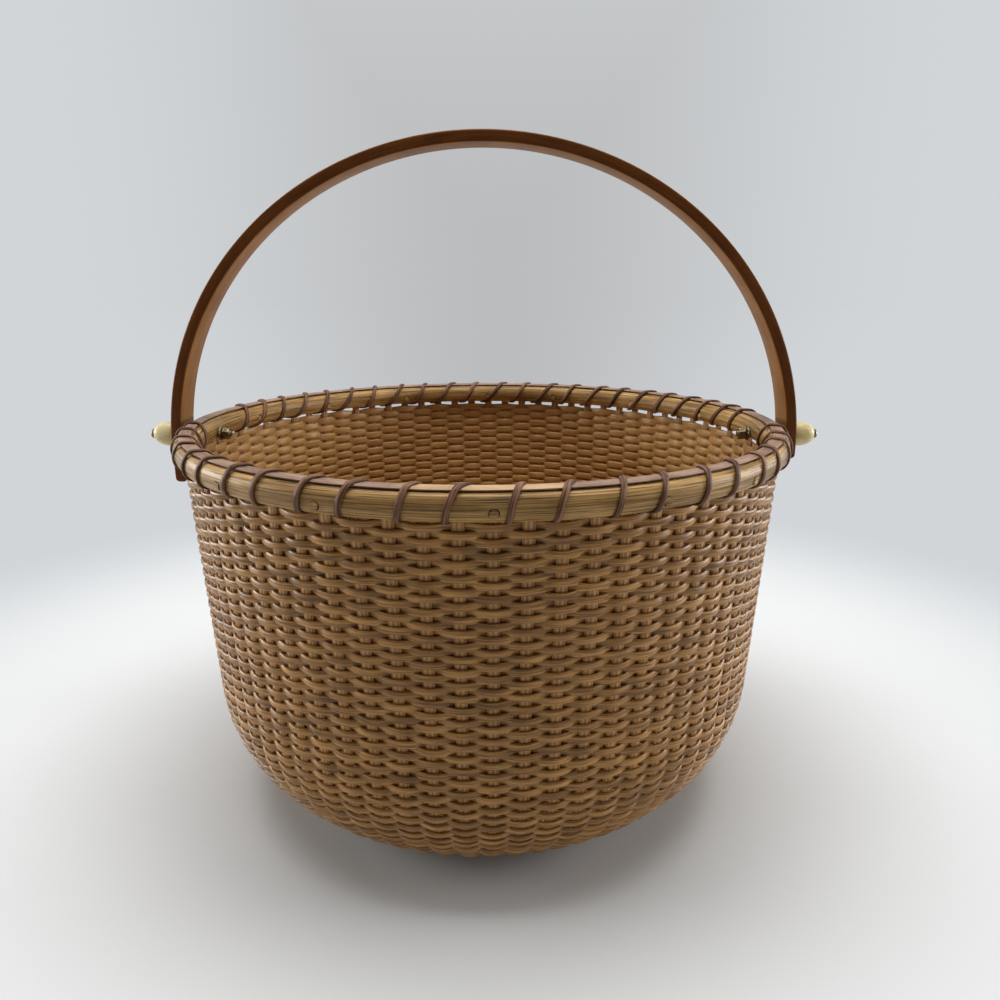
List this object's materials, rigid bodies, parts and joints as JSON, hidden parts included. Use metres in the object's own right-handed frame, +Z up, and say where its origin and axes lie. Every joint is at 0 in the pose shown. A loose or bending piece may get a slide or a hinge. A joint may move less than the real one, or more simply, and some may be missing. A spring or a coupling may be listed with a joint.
{
  "type": "woven basket with swing handle",
  "caption": "Round cane-woven basket with wooden staves, lashed double-hoop rim, turned wooden base and a bent-wood handle that swings on bone-knobbed pivots.",
  "frame": {"origin": "on the floor, under the middle of the base", "axes": "+Z up, X along the handle's pivot line, the front of the picture faces -Y"},
  "size_m": [0.2932, 0.2557, 0.2739],
  "materials": {
    "weaver_cane": "aged cane, dry and slightly glossy",
    "stave_wood": "split rattan staves, fine lengthwise grain",
    "hoop_wood": "straw-coloured half-round hoops, fine grain",
    "lashing_cane": "mauve-brown cane strand",
    "handle_wood": "dark hardwood, worn satin",
    "base_wood": "turned hardwood, satin",
    "knob_bone": "cream bone, polished",
    "pivot_bronze": "dark patinated bronze"
  },
  "bodies": {
    "basket": {"base_disc": "base_wood", "base_plug": "base_wood", "stave_group_01": "stave_wood", "stave_group_02": "stave_wood", "stave_group_03": "stave_wood", "stave_group_04": "stave_wood", "stave_group_05": "stave_wood", "stave_group_06": "stave_wood", "stave_group_07": "stave_wood", "stave_group_08": "stave_wood", "stave_group_09": "stave_wood", "stave_group_10": "stave_wood", "stave_group_11": "stave_wood", "stave_group_12": "stave_wood", "stave_group_13": "stave_wood", "stave_group_14": "stave_wood", "stave_group_15": "stave_wood", "weave_outside": "weaver_cane", "weave_inside": "weaver_cane", "outer_rim_hoop": "hoop_wood", "inner_rim_hoop": "hoop_wood", "rim_cap_strip": "lashing_cane", "front_lashing": "lashing_cane", "back_lashing": "lashing_cane", "rim_peg_01": "hoop_wood", "rim_peg_02": "hoop_wood", "rim_peg_03": "hoop_wood", "rim_peg_04": "hoop_wood", "rim_peg_05": "hoop_wood", "rim_peg_06": "hoop_wood", "rim_peg_07": "hoop_wood", "rim_peg_08": "hoop_wood", "rim_peg_09": "hoop_wood", "rim_peg_10": "hoop_wood", "rim_peg_11": "hoop_wood", "rim_peg_12": "hoop_wood", "rim_peg_13": "hoop_wood", "rim_peg_14": "hoop_wood", "left_pivot_pin": "pivot_bronze", "left_pivot_knob": "knob_bone", "left_pivot_spacer": "knob_bone", "left_pivot_washer": "pivot_bronze", "left_pivot_nut": "pivot_bronze", "right_pivot_pin": "pivot_bronze", "right_pivot_knob": "knob_bone", "right_pivot_spacer": "knob_bone", "right_pivot_washer": "pivot_bronze", "right_pivot_nut": "pivot_bronze"},
    "handle": {"swing_handle": "handle_wood"}
  },
  "joints": [
    {"name": "handle_swing", "type": "hinge", "parent": "basket", "child": "handle", "pos_m": [0, 0, 0.1523], "axis": [1, 0, 0], "range_deg": [-72, 72]}
  ]
}
